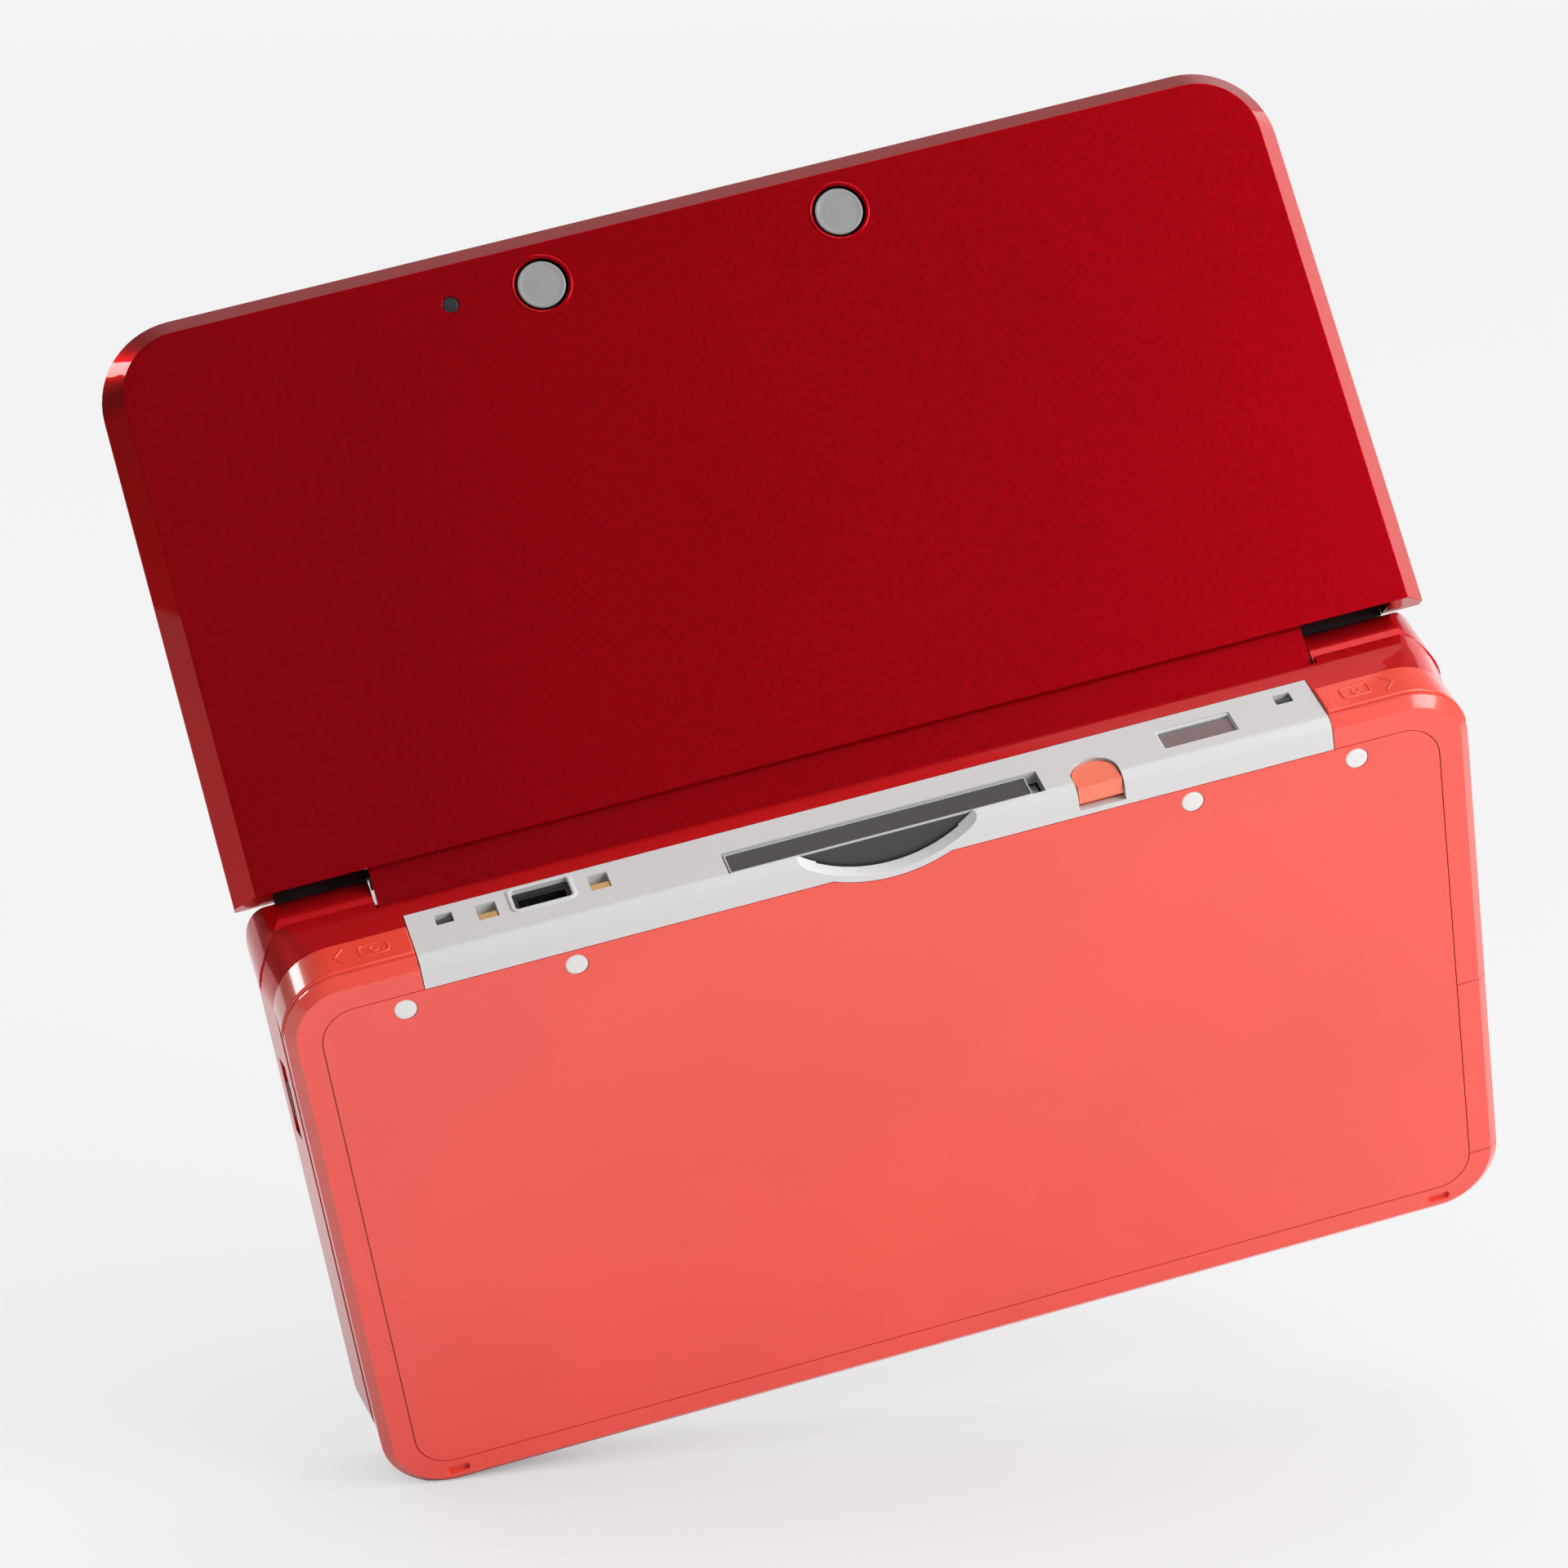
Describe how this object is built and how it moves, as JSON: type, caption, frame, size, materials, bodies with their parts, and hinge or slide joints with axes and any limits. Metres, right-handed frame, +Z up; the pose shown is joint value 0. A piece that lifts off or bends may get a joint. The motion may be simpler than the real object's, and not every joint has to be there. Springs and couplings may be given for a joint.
{
  "type": "clamshell handheld game console",
  "caption": "Clamshell handheld game console, lid open on its hinge, with screens, controls, shoulder buttons, card slot, memory card door, stylus and rear ports.",
  "frame": {"origin": "on the underside of the battery cover, at the middle of the closed console's width and depth", "axes": "+X to the player's right, +Y to the rear of the console, towards its ports, +Z up through the deck; the lid stands open at 134.1 degrees from closed"},
  "size_m": [0.134, 0.1181, 0.0666],
  "materials": {
    "lid_red": "dark red moulded lid, smooth with a soft sheen",
    "lid_inner": "dark red inner frame",
    "shell_red": "clear-coated red upper case",
    "coral": "light red lower case, fine matt",
    "button_red": "light red glossy shoulder button",
    "pale_band": "pale grey rear band",
    "screw_white": "small pale screw head",
    "steel": "plain steel",
    "screen_black": "black display panel, polished",
    "screen_module": "display module",
    "board": "circuit board",
    "cell": "battery wrap",
    "tin": "tin-plated shield",
    "ir_dark": "smoky infrared window",
    "port_black": "black connector body",
    "gold": "gold-plated contact",
    "rubber_grey": "silicone button mat",
    "black_plastic": "black moulded plastic",
    "control_grey": "dark grey control",
    "key_silver": "light grey key",
    "led_clear": "clear light pipe",
    "lens_grey": "smoky lens cover",
    "card_grey": "dark grey card shell",
    "card_blue": "blue memory card shell",
    "stylus_coral": "light red stylus",
    "bumper": "soft black bumper"
  },
  "bodies": {
    "base": {"bottom_shell": "coral", "battery_cover": "coral", "cover_screws": "screw_white", "rear_band": "pale_band", "upper_shell": "shell_red", "touch_panel": "screen_black", "lower_screen": "screen_module", "main_board": "board", "board_screws": "steel", "battery_pack": "cell", "wireless_board": "tin", "card_reader": "tin", "sd_reader": "tin", "ir_window": "ir_dark", "charge_jack": "port_black", "cradle_contacts": "gold", "strap_bars": "control_grey", "headphone_jack": "port_black", "button_membrane": "rubber_grey", "pad_module": "black_plastic", "status_leds": "led_clear", "notice_led": "led_clear", "hinge_pins": "steel"},
    "lid": {"lid_cover": "lid_red", "lid_frame": "lid_inner", "hinge_barrel": "lid_red", "lid_panel": "screen_black", "upper_screen": "screen_module", "outer_lenses": "lens_grey", "light_sensor": "black_plastic", "camera_module": "black_plastic", "inner_camera": "black_plastic", "speakers": "black_plastic", "depth_led": "led_clear", "lid_bumpers": "bumper"},
    "pad_carriage": {"pad_carriage": "key_silver"},
    "circle_pad": {"circle_pad": "control_grey"},
    "dpad_rocker": {"dpad_rocker": "rubber_grey"},
    "dpad": {"dpad": "control_grey"},
    "button_a": {"button_a": "key_silver"},
    "button_b": {"button_b": "key_silver"},
    "button_x": {"button_x": "key_silver"},
    "button_y": {"button_y": "key_silver"},
    "select_button": {"select_button": "key_silver"},
    "home_button": {"home_button": "key_silver"},
    "start_button": {"start_button": "key_silver"},
    "power_button": {"power_button": "key_silver"},
    "volume_slider": {"volume_slider": "black_plastic"},
    "wireless_switch": {"wireless_switch": "black_plastic"},
    "depth_slider": {"depth_slider": "key_silver"},
    "shoulder_left": {"shoulder_left": "button_red"},
    "shoulder_right": {"shoulder_right": "button_red"},
    "sd_door": {"sd_door": "coral"},
    "sd_card": {"sd_card": "card_blue"},
    "game_card": {"game_card": "card_grey"},
    "stylus": {"stylus": "stylus_coral"}
  },
  "joints": [
    {"name": "lid_hinge", "type": "hinge", "parent": "base", "child": "lid", "pos_m": [0, 0.03251, 0.01545], "axis": [-1, 0, 0], "range_deg": [-134.1, 20]},
    {"name": "pad_x", "type": "slide", "parent": "base", "child": "pad_carriage", "axis": [1, 0, 0], "range_m": [-0.0016, 0.0016], "stiffness_N_per_m": 200},
    {"name": "pad_y", "type": "slide", "parent": "pad_carriage", "child": "circle_pad", "axis": [0, 1, 0], "range_m": [-0.0016, 0.0016], "stiffness_N_per_m": 200},
    {"name": "dpad_roll", "type": "hinge", "parent": "base", "child": "dpad_rocker", "pos_m": [-0.05001, -0.013, 0.0088], "axis": [0, 1, 0], "range_deg": [-3, 3], "stiffness_Nm_per_rad": 0.05},
    {"name": "dpad_pitch", "type": "hinge", "parent": "dpad_rocker", "child": "dpad", "pos_m": [-0.05001, -0.013, 0.0088], "axis": [1, 0, 0], "range_deg": [-3, 3], "stiffness_Nm_per_rad": 0.05},
    {"name": "button_a_press", "type": "slide", "parent": "base", "child": "button_a", "axis": [0, 0, -1], "range_m": [0, 0.0006], "stiffness_N_per_m": 600},
    {"name": "button_b_press", "type": "slide", "parent": "base", "child": "button_b", "axis": [0, 0, -1], "range_m": [0, 0.0006], "stiffness_N_per_m": 600},
    {"name": "button_x_press", "type": "slide", "parent": "base", "child": "button_x", "axis": [0, 0, -1], "range_m": [0, 0.0006], "stiffness_N_per_m": 600},
    {"name": "button_y_press", "type": "slide", "parent": "base", "child": "button_y", "axis": [0, 0, -1], "range_m": [0, 0.0006], "stiffness_N_per_m": 600},
    {"name": "select_button_press", "type": "slide", "parent": "base", "child": "select_button", "axis": [0, 0, -1], "range_m": [0, 0.0006], "stiffness_N_per_m": 600},
    {"name": "home_button_press", "type": "slide", "parent": "base", "child": "home_button", "axis": [0, 0, -1], "range_m": [0, 0.0006], "stiffness_N_per_m": 600},
    {"name": "start_button_press", "type": "slide", "parent": "base", "child": "start_button", "axis": [0, 0, -1], "range_m": [0, 0.0006], "stiffness_N_per_m": 600},
    {"name": "power_button_press", "type": "slide", "parent": "base", "child": "power_button", "axis": [0, 0, -1], "range_m": [0, 0.0006], "stiffness_N_per_m": 600},
    {"name": "volume_slide", "type": "slide", "parent": "base", "child": "volume_slider", "axis": [0, 1, 0], "range_m": [-0.004, 0.004]},
    {"name": "wireless_slide", "type": "slide", "parent": "base", "child": "wireless_switch", "axis": [0, 1, 0], "range_m": [-0.0029, 0.0029]},
    {"name": "depth_slide", "type": "slide", "parent": "lid", "child": "depth_slider", "axis": [0, -0.6959, -0.7181], "range_m": [-0.004, 0.004]},
    {"name": "shoulder_left_press", "type": "hinge", "parent": "base", "child": "shoulder_left", "pos_m": [-0.05232, 0.0352, 0.004], "axis": [0, 0, 1], "range_deg": [0, 3.4], "stiffness_Nm_per_rad": 0.3},
    {"name": "shoulder_right_press", "type": "hinge", "parent": "base", "child": "shoulder_right", "pos_m": [0.05232, 0.0352, 0.004], "axis": [0, 0, -1], "range_deg": [0, 3.4], "stiffness_Nm_per_rad": 0.3},
    {"name": "sd_door_pull", "type": "slide", "parent": "base", "child": "sd_door", "axis": [-1, 0, 0], "range_m": [0, 0.004]},
    {"name": "sd_card_push", "type": "slide", "parent": "base", "child": "sd_card", "axis": [1, 0, 0], "range_m": [0, 0.001], "stiffness_N_per_m": 300},
    {"name": "game_card_slide", "type": "slide", "parent": "base", "child": "game_card", "axis": [0, 1, 0], "range_m": [-0.0008, 0.033]},
    {"name": "stylus_slide", "type": "slide", "parent": "base", "child": "stylus", "axis": [0, 1, 0], "range_m": [0, 0.055]}
  ]
}
